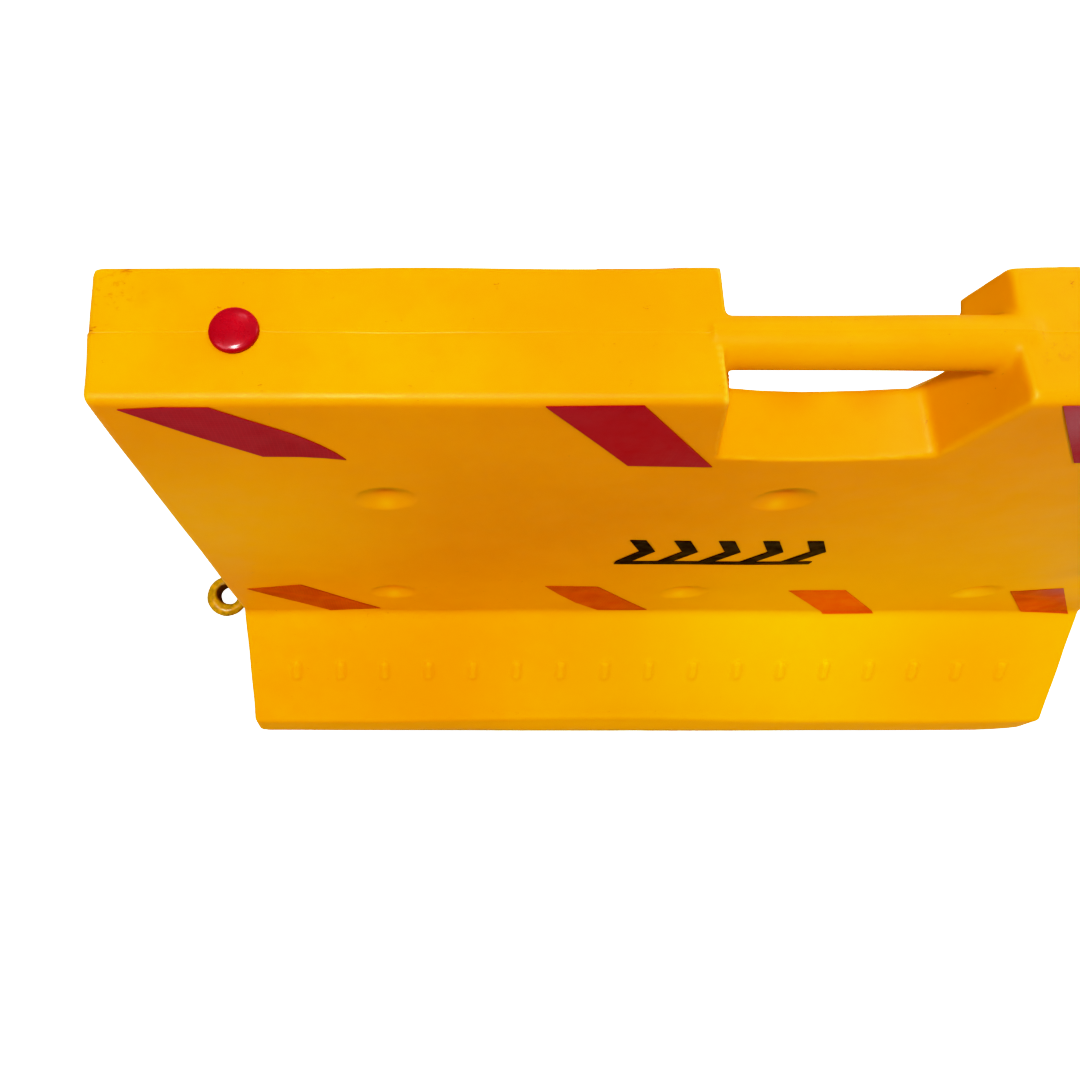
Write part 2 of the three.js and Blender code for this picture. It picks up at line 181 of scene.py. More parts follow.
def settle(obj):
    """Applies the object's modifiers."""
    bpy.context.view_layer.update()
    shaped = obj.evaluated_get(bpy.context.evaluated_depsgraph_get())
    mesh = bpy.data.meshes.new_from_object(shaped)
    obj.modifiers.clear()
    obj.data = mesh
    return obj


def cut(obj, tool, operation="DIFFERENCE"):
    boolean = obj.modifiers.new("cut", "BOOLEAN")
    boolean.operation = operation
    boolean.solver = "EXACT"
    boolean.object = tool
    settle(obj)
    bpy.data.objects.remove(tool)
    return obj


def smooth_shade(obj):
    obj.data.polygons.foreach_set("use_smooth", [True] * len(obj.data.polygons))
    obj.data.update()
    return obj


def coordinates(mesh):
    co = np.zeros(len(mesh.vertices) * 3, np.float32)
    mesh.vertices.foreach_get("co", co)
    return co.reshape(-1, 3).astype(float)


def normals(mesh):
    no = np.zeros(len(mesh.vertices) * 3, np.float32)
    mesh.vertex_normals.foreach_get("vector", no)
    return no.reshape(-1, 3).astype(float)


def place(mesh, co):
    mesh.vertices.foreach_set("co", co.astype(np.float32).ravel())
    mesh.update()


# ---- Moulded body --------------------------------------------------------


def section_block():
    """The plain section along the whole length, each edge rounded by its own amount."""
    half = [
        (BASE_HALF, 0.0), (LIP_HALF, LIP_Z), (TOE_FOOT_HALF, TOE_FOOT_Z),
        (PANEL_FOOT_HALF, PANEL_FOOT_Z), (DECK_HALF, HEIGHT),
    ]
    outline = half + [(-y, z) for y, z in reversed(half)]
    long_round = {0: 6.0, 1: 8.0, 2: 4.0, 3: 7.0, 4: 6.5}
    bm = bmesh.new()
    left = [bm.verts.new((-HALF_LENGTH * MM, y * MM, z * MM)) for y, z in outline]
    right = [bm.verts.new((HALF_LENGTH * MM, y * MM, z * MM)) for y, z in outline]
    count = len(outline)
    bm.faces.new(left)
    bm.faces.new(list(reversed(right)))
    for i in range(count):
        j = (i + 1) % count
        bm.faces.new((left[i], left[j], right[j], right[i]))
    widest = 14.0
    weight = bm.edges.layers.float.new("bevel_weight_edge")
    for edge in bm.edges:
        a, b = edge.verts
        if abs(a.co.x - b.co.x) > MM:
            index = (left + right).index(a) % count
            edge[weight] = long_round[min(index, count - 1 - index)] / widest
            continue
        lowest, highest = sorted((a.co.z / MM, b.co.z / MM))
        if lowest < 1 < highest < TOE_FOOT_Z + 1:
            edge[weight] = 5.0 / widest
        elif lowest > HEIGHT - 1:
            edge[weight] = 4.0 / widest
        else:
            edge[weight] = 6.0 / widest
    block = from_bmesh("block", bm)
    bevel = block.modifiers.new("round", "BEVEL")
    bevel.limit_method = "WEIGHT"
    bevel.width = widest * MM
    bevel.segments = 4
    return settle(block)


def warped_box(place_point, counts):
    """Closed box surface; place_point turns each (u, v, w) in 0..1 into millimetres."""
    bm = bmesh.new()
    made = {}

    def corner(i, j, k):
        if (i, j, k) not in made:
            u, v, w = (a / n for a, n in zip((i, j, k), counts))
            made[i, j, k] = bm.verts.new(Vector(place_point(u, v, w)) * MM)
        return made[i, j, k]

    for axis in range(3):
        first, second = (axis + 1) % 3, (axis + 2) % 3
        for side in (0, counts[axis]):
            for a in range(counts[first]):
                for b in range(counts[second]):
                    face = []
                    for da, db in ((0, 0), (1, 0), (1, 1), (0, 1)):
                        index = [0, 0, 0]
                        index[axis], index[first], index[second] = side, a + da, b + db
                        face.append(corner(*index))
                    bm.faces.new(face)
    return from_bmesh("box", bm)


def notch_tool(face_half, right_middle_half=NOTCH_MIDDLE_HALF, drift=0.0):
    """Notch from the front face to the mid-plane, with twisted side walls and a slightly sagging floor."""

    def point(u, v, w):
        across = 2 * u - 1
        y = -63 + 63.5 * v
        sag = (7 + 2 * v) * max(0.0, 1 - (across + 0.15) ** 2 / 1.2)
        floor = NOTCH_FACE_Z + NOTCH_RISE * v - sag
        middle_half = NOTCH_MIDDLE_HALF if across < 0 else right_middle_half
        half_low = face_half + (middle_half - face_half) * v
        x = across * (half_low + (NOTCH_TOP_HALF - half_low) * w) - drift * v * w
        return x, y, floor + (NOTCH_TOP_Z - floor) * w

    return warped_box(point, (16, 6, 8))


def pocket_tool():
    """Hand pocket sunk into the back, its edge at the mid-plane sagging a little."""
    points = []
    for side in (-1, 1):
        points += [
            (side * 74, 0, 700), (side * NOTCH_MIDDLE_HALF, 0, 672), (side * 138, POCKET_DEPTH, 708),
            (side * 138, POCKET_DEPTH, 600), (side * 116, POCKET_DEPTH, 556),
        ]
    points += [(-40, 0, 667.6), (-10, 0, 665.5), (25, 0, 667.2)]
    points += [(-40, POCKET_DEPTH, 552), (25, POCKET_DEPTH, 552)]
    return hull(points)


def panel_y(z):
    share = (HEIGHT - z) / (HEIGHT - PANEL_FOOT_Z)
    return -(DECK_HALF + (PANEL_FOOT_HALF - DECK_HALF) * share)


def dish_tools():
    profile = [
        (0, -DISH_DEPTH), (4, -5.9), (9, -4.8), (14, -3.5), (19, -2.1),
        (23, -0.8), (25.5, 0.0), (27.5, 0.5), (28, 6), (0, 6),
    ]
    tools = []
    for z in DISH_Z:
        for x in DISH_X:
            turn = Matrix.Translation(Vector((x, panel_y(z), z)) * MM) @ Matrix.Rotation(math.pi / 2, 4, "X")
            dish = lathe("dish", profile, 40, turn)
            behind_pocket = abs(x) < 74 and z == DISH_Z[0]
            if not behind_pocket:
                tools.append(turned(dish))
            tools.append(dish)
    return join("dishes", tools)


def bore_tool(name, radius, bottom, top, segments, turn):
    return lathe(name, [(0, bottom), (radius, bottom), (radius, top), (0, top)], segments, turn)


def channel_tools():
    tools = []
    for x in CHANNEL_X:
        turn = Matrix.Translation(Vector((x, 0, CHANNEL_AXIS_Z)) * MM) @ Matrix.Rotation(math.pi / 2, 4, "X")
        tools.append(bore_tool("channel", CHANNEL_RADIUS, -220, 220, 64, turn))
    return join("channels", tools)


def port_tools():
    filler = Matrix.Translation(Vector((FILLER_X, 0, HEIGHT)) * MM)
    drain = Matrix.Translation(Vector((HALF_LENGTH, DRAIN_Y, DRAIN_Z)) * MM)
    drain = drain @ Matrix.Rotation(math.pi / 2, 4, "Y")
    tools = [
        bore_tool("filler", FILLER_BORE, -70, 20, 48, filler),
        bore_tool("drain", DRAIN_BORE, -60, 20, 48, drain),
    ]
    for side, sign in (("left", -1), ("right", 1)):
        turn = Matrix.Translation(Vector((sign * HALF_LENGTH, 0, EYE_Z[side])) * MM)
        turn = turn @ Matrix.Rotation(sign * math.pi / 2, 4, "Y")
        tools.append(bore_tool("insert", INSERT_BORE, -INSERT_BORE_DEPTH, 20, 48, turn))
    return join("ports", tools)


def grip_ribs():
    """Low rounded bars lying on the toe slope."""
    run = TOE_FOOT_HALF - PANEL_FOOT_HALF
    rise = PANEL_FOOT_Z - TOE_FOOT_Z
    slope = math.atan2(rise, run)
    share = (PANEL_FOOT_Z - RIB_Z) / rise
    y = -(PANEL_FOOT_HALF + run * share)
    ribs = []
    for i in range(RIB_COUNT):
        x = (i - (RIB_COUNT - 1) / 2) * RIB_PITCH + RIB_SHIFT
        bm = bmesh.new()
        bmesh.ops.create_uvsphere(bm, u_segments=16, v_segments=12, radius=RIB_RADIUS * MM)
        for v in bm.verts:
            v.co.y += math.copysign(RIB_STRETCH * MM, v.co.y) if abs(v.co.y) > 1e-6 else 0.0
            v.co.z *= RIB_FLATNESS
        turn = Matrix.Translation(Vector((x, y, RIB_Z)) * MM) @ Matrix.Rotation(slope, 4, "X")
        bm.transform(turn @ Matrix.Translation((0, 0, -RIB_SINK * MM)))
        rib = from_bmesh("rib", bm)
        ribs += [rib, turned(rib)]
    return ribs


def handle_tube():
    """The hand tube, swelling where it runs into the blocks but never rising further above the deck."""
    bm = bmesh.new()
    rings = []
    steps, segments = 64, 40
    for i in range(steps + 1):
        x = -HANDLE_HALF + 2 * HANDLE_HALF * i / steps
        reach = min(1.0, max(0.0, (abs(x) - FLARE_START) / FLARE_RUN))
        flare = (FLARE_RIGHT if x > 0 else FLARE_LEFT) * reach ** 2
        radius = HANDLE_RADIUS + flare
        ring = []
        for k in range(segments):
            a = 2 * math.pi * k / segments
            ring.append(bm.verts.new((
                x * MM,
                (radius * math.cos(a) + HANDLE_OFFSET) * MM,
                (HANDLE_Z - flare + radius * math.sin(a)) * MM,
            )))
        rings.append(ring)
    for lower, upper in zip(rings, rings[1:]):
        for k in range(segments):
            j = (k + 1) % segments
            bm.faces.new((lower[k], lower[j], upper[j], upper[k]))
    bm.faces.new(rings[0])
    bm.faces.new(rings[-1])
    return from_bmesh("handle", bm)


def surface_waves(co):
    """Slow uneven shrinkage of a moulded wall, in metres."""
    rng = np.random.default_rng(11)
    total = np.zeros(len(co))
    for wavelength, height in ((0.31, 0.30), (0.22, 0.26), (0.15, 0.16), (0.11, 0.12), (0.07, 0.07)):
        for _ in range(3):
            direction = rng.normal(size=3)
            direction /= np.linalg.norm(direction)
            phase = rng.uniform(0, 2 * math.pi)
            total += height * MM * 0.55 * np.sin(co @ direction * 2 * math.pi / wavelength + phase)
    return total


def score_parting_line(mesh):
    """Adds fine edges beside the mid-plane where the two mould halves met, so the line can be raised."""
    bm = bmesh.new()
    bm.from_mesh(mesh)
    for at in PARTING_EDGES:
        near = [
            f for f in bm.faces
            if abs(f.calc_center_median().y / MM - PARTING_Y) < 6
            and (f.normal.z > 0.6 or abs(f.normal.x) > 0.9)
        ]
        verts = list({v for f in near for v in f.verts})
        edges = list({e for f in near for e in f.edges})
        bmesh.ops.bisect_plane(
            bm, geom=verts + edges + near, dist=1e-7,
            plane_co=(0, (PARTING_Y + at) * MM, 0), plane_no=(0, 1, 0),
        )
    bm.to_mesh(mesh)
    bm.free()


def finish_surface(mesh):
    """Adds the parting line, the wall's slow waves and sinks, and the pull of cooling on the ends and toe."""
    co, no = coordinates(mesh), normals(mesh)
    x, y, z = co.T / MM
    above_base = np.clip(z / 50, 0, 1)
    offset = surface_waves(co) * above_base
    top = (no[:, 2] > 0.6) & (z > 700) & ~((np.abs(x) < 60) & (z < 740))
    end = (np.abs(no[:, 0]) > 0.9) & (np.abs(x) > 480)
    wander = 0.25 * np.sin(x / 37) + 0.15 * np.sin(x / 11 + 1)
    line = np.exp(-(((y - PARTING_Y - wander) / 0.55) ** 2)) * (top | end) * above_base
    fade = np.where(np.abs(x) < 104, 0.25, 0.75 + 0.25 * np.sin(x / 41 + 2.5) + 0.15 * np.sin(x / 9))
    offset += PARTING_HEIGHT * fade * MM * line
    co += no * offset[:, None]
    for sx, sz, wide, tall, depth in SINKS:
        for sign in (1, -1):
            facing = np.clip(-sign * no[:, 1] * 2 - 1, 0, 1)
            sink = np.exp(-((sign * x - sx) / wide) ** 2 - ((z - sz) / tall) ** 2) * facing
            co[:, 1] += sign * depth * MM * sink
    ends = ((-1, END_PUSH_LEFT, END_LEAN_LEFT), (1, END_PUSH_RIGHT, END_LEAN_RIGHT))
    for sign, push, lean in ends:
        reach = np.clip((sign * x - 440) / 60, 0, 1)
        height_share = np.clip((z - 150) / 600, 0, 1)
        step = -0.5 * np.tanh(y / 1.5)
        grow = push * above_base + (lean + 1.6 * y / 49 + step) * height_share
        ripple = (0.35 * np.sin(y / 10.5 + 0.9) + 0.2 * np.sin(z / 32 + y / 25)) * above_base
        co[:, 0] += sign * reach * (grow + ripple) * MM
    toe_corner = np.clip((x - 462) / 38, 0, 1) ** 2 * np.clip((-y - 150) / 30, 0, 1)
    co[:, 1] += TOE_CORNER_PULL * MM * toe_corner * np.clip((120 - z) / 60, 0, 1)
    bow = np.clip(1 - (x / 470) ** 2, 0, 1) * np.clip((np.abs(y) - 120) / 60, 0, 1)
    co[:, 1] += np.sign(y) * TOE_BOW * MM * bow
    rear = 1.3 * np.exp(-((x + 300) / 60) ** 2) + 1.2 * np.exp(-((x + 105) / 20) ** 2)
    rear += 2.0 * np.clip((x - 80) / 40, 0, 1)
    co[:, 1] += rear * MM * np.clip((y - 20) / 20, 0, 1) * np.clip((z - 640) / 80, 0, 1)
    drawn = np.exp(-((x + 60) / 190) ** 2) * np.exp(-((z - TOE_FOOT_Z) / 22) ** 2)
    drawn *= np.clip((np.abs(y) - 150) / 20, 0, 1)
    co[:, 1] -= np.sign(y) * TOE_PULL * MM * drawn
    around = np.hypot(x - FILLER_X, y)
    dome = np.exp(-((around - 19) / 7) ** 2) * (no[:, 2] > 0.7)
    co[:, 2] += PORT_DOME * MM * dome
    co[:, 2] = np.maximum(co[:, 2], 0.0)
    place(mesh, co)


def round_off(obj, passes, chosen):
    """Smooths the vertices picked by chosen(x, y, z), in millimetres, a number of passes more."""
    x, y, z = coordinates(obj.data).T / MM
    group = obj.vertex_groups.new(name="softer")
    group.add(np.flatnonzero(chosen(x, y, z)).tolist(), 1.0, "REPLACE")
    soften = obj.modifiers.new("round_off", "SMOOTH")
    soften.factor = 0.5
    soften.iterations = passes
    soften.vertex_group = group.name
    settle(obj)
    obj.vertex_groups.clear()


def moulded_body():
    body = section_block()
    notch = notch_tool(NOTCH_FRONT_HALF, NOTCH_RIGHT_MIDDLE_HALF, NOTCH_DRIFT)
    back_notch = notch_tool(NOTCH_BACK_HALF)
    back_notch.data.transform(Matrix.Rotation(math.pi, 4, "Z"))
    for tool in (notch, back_notch, pocket_tool(), dish_tools(), channel_tools(), port_tools()):
        cut(body, tool)
    body = join("barrier_shell", [body, handle_tube(), *grip_ribs()])
    remesh = body.modifiers.new("skin", "REMESH")
    remesh.mode = "VOXEL"
    remesh.voxel_size = VOXEL
    soften = body.modifiers.new("soften", "SMOOTH")
    soften.factor = 0.5
    soften.iterations = 2
    settle(body)
    round_off(body, 14, lambda x, y, z: (x > 58) & (x < 128) & (z > 652) & (np.abs(y) < 60))
    round_off(body, 4, lambda x, y, z: (np.abs(x) < 92) & (z > 640) & (z < 668) & (y < -30))
    round_off(body, 5, lambda x, y, z: (x > -108) & (x < -58) & (z > 645) & (y < -6))
    score_parting_line(body.data)
    finish_surface(body.data)
    return smooth_shade(body)


# ---- Sheets laid on the panels -------------------------------------------


def sheet(name, polygons, tree, side, spacing):
    """Thin sheet cut into small faces and laid on the body; polygons are lists of (x, z) in millimetres."""
    bm = bmesh.new()
    for polygon in polygons:
        bm.faces.new([bm.verts.new((px * MM, 0, pz * MM)) for px, pz in polygon])
    bmesh.ops.remove_doubles(bm, verts=bm.verts[:], dist=0.01 * MM)
    xs = [v.co.x for v in bm.verts]
    zs = [v.co.z for v in bm.verts]
    for low, high, axis in ((min(xs), max(xs), Vector((1, 0, 0))), (min(zs), max(zs), Vector((0, 0, 1)))):
        count = int((high - low) / (spacing * MM))
        for i in range(1, count + 1):
            at = low + (high - low) * i / (count + 1)
            bmesh.ops.bisect_plane(
                bm, geom=bm.verts[:] + bm.edges[:] + bm.faces[:], plane_co=axis * at, plane_no=axis,
            )
    sign = 1 if side == "front" else -1
    front = bm.verts[:]
    back = {}
    for v in front:
        x, z = sign * v.co.x, v.co.z
        hit, normal, _, _ = tree.ray_cast(Vector((x, -sign * 0.4, z)), Vector((0, sign, 0)))
        v.co = hit + normal * (SHEET_LIFT + SHEET_THICKNESS)
        back[v] = bm.verts.new(hit + normal * SHEET_LIFT)
    faces = bm.faces[:]
    edges = [e for e in bm.edges if len(e.link_faces) == 1]
    for face in faces:
        bm.faces.new([back[v] for v in reversed(face.verts)])
    for edge in edges:
        a, b = edge.verts
        bm.faces.new((a, b, back[b], back[a]))
    obj = from_bmesh(name, bm)
    smooth_shade(obj)
    obj.data.set_sharp_from_angle(angle=math.radians(40))
    return obj


def chevron_polygons():
    half, low, rule, high, reach, stroke, count = 97, 394, 9, 468, 16, 15, 5
    pitch = (2 * half - reach - stroke) / (count - 1)
    base = low + rule
    middle = (base + high) / 2
    lefts = [-half + i * pitch for i in range(count)]
    polygons = []
    marks = sorted({-half, half, *lefts, *(x + stroke for x in lefts)})
    for a, b in zip(marks, marks[1:]):
        polygons.append([(a, low), (b, low), (b, base), (a, base)])
    for x in lefts:
        polygons.append([(x, base), (x + stroke, base), (x + stroke + reach, middle), (x + reach, middle)])
        polygons.append([(x + reach, middle), (x + reach + stroke, middle), (x + stroke, high), (x, high)])
    return polygons


# ---- Plugs, eyes and nuts ------------------------------------------------


def plug_cap(name, radius, height, turn):
    """Domed push-in plug with a rolled rim, a hollow underside and a ribbed stem."""
    stem = radius - 3.0 if radius > 16 else radius - 4.8
    profile = [(0, -14.0), (stem - 3.2, -14.0), (stem - 3.0, -18.0), (stem - 1.6, -18.0), (stem, -14.5)]
    for at in (-11.0, -7.5, -4.0):
        profile += [(stem, at - 1.0), (stem - 0.5, at - 0.6), (stem - 0.5, at + 0.2), (stem, at + 0.6)]
    profile += [
        (stem, -0.4), (stem + 0.4, 0.0), (radius - 0.75, 0.0), (radius - 0.6, -1.0),
        (radius - 0.1, -1.0), (radius, -0.3), (radius - 0.1, 0.4),
    ]
    steps = 26
    for i in range(steps):
        a = math.pi / 2 * i / steps
        profile.append(((radius - 0.35) * math.cos(a) ** 0.95, 0.7 + (height - 0.7) * math.sin(a) ** 1.05))
    profile.append((0, height))
    obj = lathe(name, profile, 96)
    co = coordinates(obj.data)
    angle = np.arctan2(co[:, 1], co[:, 0])
    swell = 1 + 0.008 * np.sin(2 * angle + 0.6) + 0.006 * np.sin(3 * angle + 2.0)
    outer = np.hypot(co[:, 0], co[:, 1]) > (stem + 0.2) * MM
    co[:, :2] *= np.where(outer, swell, 1.0)[:, None]
    co[:, 2] += 0.12 * MM * np.sin(angle + 1.1) * (co[:, 2] > 1.2 * MM)
    place(obj.data, co)
    obj.data.transform(turn)
    smooth_shade(obj)
    obj.data.set_sharp_from_angle(angle=math.radians(45))
    return obj


def seal_ring(name, outer, inner, thickness, turn):
    """Flat ring with broken edges, for the gaskets and washers."""
    edge = 0.3
    profile = [
        (inner, edge), (inner + edge, 0), (outer - edge, 0), (outer, edge),
        (outer, thickness - edge), (outer - edge, thickness),
        (inner + edge, thickness), (inner, thickness - edge),
    ]
    return smooth_shade(lathe(name, profile, 72, turn))


def eye_ring(reach, ring, rod):
    """Bent rod ring blended into its neck, slightly uneven like forged steel."""
    bm = bmesh.new()
    around, across = 96, 32
    grid = []
    for i in range(around):
        a = 2 * math.pi * i / around
        thick = rod * (1 + 0.17 * math.cos(a) + 0.02 * math.sin(2 * a + 0.5) + 0.015 * math.sin(5 * a))
        row = []
        for k in range(across):
            b = 2 * math.pi * k / across
            out = ring + thick * math.cos(b)
            row.append(bm.verts.new((
                (reach + out * math.cos(a)) * MM,
                (out * math.sin(a) + EYE_OFF_AXIS) * MM,
                thick * math.sin(b) * MM,
            )))
        grid.append(row)
    for i in range(around):
        for k in range(across):
            j, m = (i + 1) % around, (k + 1) % across
            bm.faces.new((grid[i][k], grid[j][k], grid[j][m], grid[i][m]))
    torus = from_bmesh("torus", bm)
    turn = Matrix.Rotation(math.pi / 2, 4, "Y")
    root = reach - ring
    profile = [
        (0, 14), (ROD_RADIUS, 14), (7.9, root - 14), (9.4, root - 9), (11.5, root - 3), (0, root),
    ]
    neck = lathe("neck", profile, 48, turn)
    blank = join("blank", [torus, neck])
    remesh = blank.modifiers.new("skin", "REMESH")
    remesh.mode = "VOXEL"
    remesh.voxel_size = EYE_VOXEL
    soften = blank.modifiers.new("soften", "SMOOTH")
    soften.factor = 0.5
    soften.iterations = 5
    settle(blank)
    co, no = coordinates(blank.data), normals(blank.data)
    rng = np.random.default_rng(4)
    dents = np.zeros(len(co))
    for _ in range(14):
        direction = rng.normal(size=3)
        direction /= np.linalg.norm(direction)
        dents += np.sin(co @ direction * 2 * math.pi / rng.uniform(0.006, 0.02) + rng.uniform(0, 6.28))
    place(blank.data, co + no * (0.035 * MM * dents)[:, None])
    return blank


def threaded_rod(start, end, radius, pitch, depth):
    """Rod along X with a real helical thread, closed at both ends."""
    bm = bmesh.new()
    segments = 32
    per_turn = 8
    rows = int((end - start) / pitch * per_turn)
    rings = []
    for i in range(rows + 1):
        x = start + (end - start) * i / rows
        fade = min(1.0, (x - start) / 3.0, (end - x) / 3.0)
        ring = []
        for k in range(segments):
            a = 2 * math.pi * k / segments
            phase = (x / pitch - k / segments) % 1.0
            r = radius - depth * max(0.0, fade) * (1 - abs(2 * phase - 1))
            ring.append(bm.verts.new((x * MM, r * math.cos(a) * MM, r * math.sin(a) * MM)))
        rings.append(ring)
    for lower, upper in zip(rings, rings[1:]):
        for k in range(segments):
            j = (k + 1) % segments
            bm.faces.new((lower[k], lower[j], upper[j], upper[k]))
    bm.faces.new(rings[0])
    bm.faces.new(rings[-1])
    return from_bmesh("rod", bm)


def hex_nut(name, flats, bore, low, high):
    """Chamfered hexagon nut along X."""
    bm = bmesh.new()
    segments = 96
    half = flats / 2
    rings = [[] for _ in range(8)]
    for k in range(segments):
        a = 2 * math.pi * k / segments
        local = (a + math.pi / 6) % (math.pi / 3) - math.pi / 6
        corner = half / math.cos(local)
        inner = min(corner, half * 0.97)
        drop = (corner - inner) * 0.5
        levels = [
            (bore, low + 0.9), (bore + 0.9, low), (inner, low), (corner, low + drop + 0.05),
            (corner, high - drop - 0.05), (inner, high), (bore + 0.9, high), (bore, high - 0.9),
        ]
        for ring, (r, x) in zip(rings, levels):
            ring.append(bm.verts.new((x * MM, r * math.cos(a) * MM, r * math.sin(a) * MM)))
    for lower, upper in zip(rings, rings[1:] + rings[:1]):
        for k in range(segments):
            j = (k + 1) % segments
            bm.faces.new((lower[k], lower[j], upper[j], upper[k]))
    obj = from_bmesh(name, bm)
    smooth_shade(obj)
    obj.data.set_sharp_from_angle(angle=math.radians(25))
    return obj


# ---- Materials -----------------------------------------------------------


class Nodes:
    """Small helper that wires a node material."""

    def __init__(self, name):
        self.material = bpy.data.materials.new(name)
        self.material.use_nodes = True
        self.tree = self.material.node_tree
        self.shader = self.tree.nodes["Principled BSDF"]
        self.where = self.add("ShaderNodeTexCoord").outputs["Object"]

    def add(self, kind, **inputs):
        node = self.tree.nodes.new(kind)
        for key, value in inputs.items():
            self.feed(node.inputs[key.replace("_", " ")], value)
        return node

    def feed(self, socket, value):
        if isinstance(value, bpy.types.NodeSocket):
            self.tree.links.new(value, socket)
        elif isinstance(value, (tuple, list)) and len(value) == 3 and socket.type == "RGBA":
            socket.default_value = (*value, 1.0)
        else:
            socket.default_value = value

    def set(self, **inputs):
        for key, value in inputs.items():
            self.feed(self.shader.inputs[key.replace("_", " ")], value)

    def noise(self, scale, detail=3.0, roughness=0.5, vector=None):
        node = self.add("ShaderNodeTexNoise", Scale=scale, Detail=detail, Roughness=roughness)
        self.feed(node.inputs["Vector"], vector or self.where)
        return node.outputs["Fac"]

    def ramp(self, value, *stops):
        node = self.tree.nodes.new("ShaderNodeValToRGB")
        self.feed(node.inputs["Fac"], value)
        elements = node.color_ramp.elements
        while len(elements) < len(stops):
            elements.new(0.5)
        for element, (position, colour) in zip(elements, stops):
            element.position = position
            element.color = (*colour, 1.0) if isinstance(colour, tuple) else (colour, colour, colour, 1.0)
        return node.outputs["Color"]

    def mix(self, factor, a, b, blend="MIX"):
        node = self.tree.nodes.new("ShaderNodeMix")
        node.data_type = "RGBA"
        node.blend_type = blend
        self.feed(node.inputs[0], factor)
        self.feed(node.inputs[6], a)
        self.feed(node.inputs[7], b)
        return node.outputs[2]

    def math(self, operation, a, b=0.0):
        node = self.tree.nodes.new("ShaderNodeMath")
        node.operation = operation
        self.feed(node.inputs[0], a)
        self.feed(node.inputs[1], b)
        return node.outputs[0]

    def near(self, point, radius, vector=None):
        """1 at a point given in millimetres, falling to 0 at the radius."""
        node = self.tree.nodes.new("ShaderNodeVectorMath")
        node.operation = "DISTANCE"
        self.feed(node.inputs[0], vector or self.where)
        node.inputs[1].default_value = Vector(point) * MM
        fall = self.add("ShaderNodeMapRange", From_Min=0.0, From_Max=radius * MM, To_Min=1.0, To_Max=0.0)
        fall.interpolation_type = "SMOOTHSTEP"
        self.feed(fall.inputs["Value"], node.outputs["Value"])
        return fall.outputs["Result"]

    def bump(self, *layers):
        """Each layer is (height, strength, distance in metres)."""
        normal = None
        for height, strength, distance in layers:
            node = self.add("ShaderNodeBump", Height=height, Strength=strength, Distance=distance)
            if normal is not None:
                self.feed(node.inputs["Normal"], normal)
            normal = node.outputs["Normal"]
        self.set(Normal=normal)


# point in millimetres, radius, strength and colour where the film looks different; the two pale pink ones are
# painted reflections
FILM_TINTS_AND_PAINTED_REFLECTIONS = (
    ((-145, -50, 690), 120, 0.9, (0.53, 0.008, 0.022)),
    ((187, -56, 245), 150, 0.9, (0.86, 0.160, 0.0)),
    ((430, -56, 225), 90, 0.6, (0.80, 0.125, 0.0)),
    ((-85, -56, 250), 100, 0.5, (0.75, 0.130, 0.0)),
    ((150, -50, 735), 75, 0.8, (0.52, 0.17, 0.19)),
    ((428, -56, 300), 36, 0.8, (0.52, 0.17, 0.19)),
)

# point in millimetres, radius, strength and colour of patches on the plastic: the broad ones (radius 30 and
# up) are painted shade and painted light on the panels, the toe and the notch floor under the tube; the small
# ones are stains and marks
STAINS_AND_PAINTED_SHADING = (
    ((-150, -52, 470), 360, 0.80, (0.84, 0.315, 0.0)),
    ((-290, -125, 135), 170, 0.60, (0.80, 0.32, 0.0)),
    ((330, -56, 300), 560, 0.90, (0.97, 0.515, 0.0)),
    ((390, -135, 130), 190, 0.95, (0.97, 0.395, 0.0)),
    ((-480, -52, 520), 260, 0.90, (0.97, 0.500, 0.0)),
    ((-340, -136, 118), 7, 0.8, (0.22, 0.06, 0.01)),
    ((-222, -134, 120), 6, 0.6, (0.26, 0.08, 0.01)),
    ((-482, 47, 750), 6, 0.9, (0.22, 0.01, 0.01)),
    ((-504, 2, 748), 6, 0.8, (0.25, 0.10, 0.02)),
    ((-505, -27, 748), 5, 0.8, (0.20, 0.08, 0.02)),
    ((-455, 32, 751), 16, 0.12, (0.50, 0.20, 0.01)),
    ((-470, 22, 751), 9, 0.10, (0.50, 0.20, 0.01)),
    ((-20, -130, 140), 260, 0.60, (0.78, 0.400, 0.0)),
    ((120, -56, 240), 230, 0.60, (0.98, 0.530, 0.0)),
    ((-20, 4, 664), 34, 0.75, (0.78, 0.270, 0.0)),
    ((35, 4, 665), 30, 0.65, (0.78, 0.270, 0.0)),
)

# points along the left edge of the notch where a pale highlight is painted
NOTCH_EDGE_PAINTED_HIGHLIGHT = [(-97.5 - 0.5 * i, -46 + 5 * i, 747) for i in range(8)]

# point in millimetres, radius and strength of the scraped places
SCUFFS = (
    ((112, -8, 744), 26, 0.35),
    ((-490, 30, 745), 30, 0.35),
)


# cells per metre, size and rarity of the dark specks, and their colour
SPECKS = (
    (55.0, 0.075, 0.62, (0.30, 0.10, 0.01)),
    (110.0, 0.10, 0.66, (0.52, 0.19, 0.01)),
)

# height above a dimple's centre, depth into the wall, radius, strength and colour of the painted shade on its
# upper side and the painted highlight on its lower side
DISH_PAINTED_SHADE_AND_HIGHLIGHT = (
    (4, 2, 17, 0.65, (0.84, 0.20, 0.0)),
    (-17, 1, 11, 0.60, (1.0, 0.56, 0.01)),
)


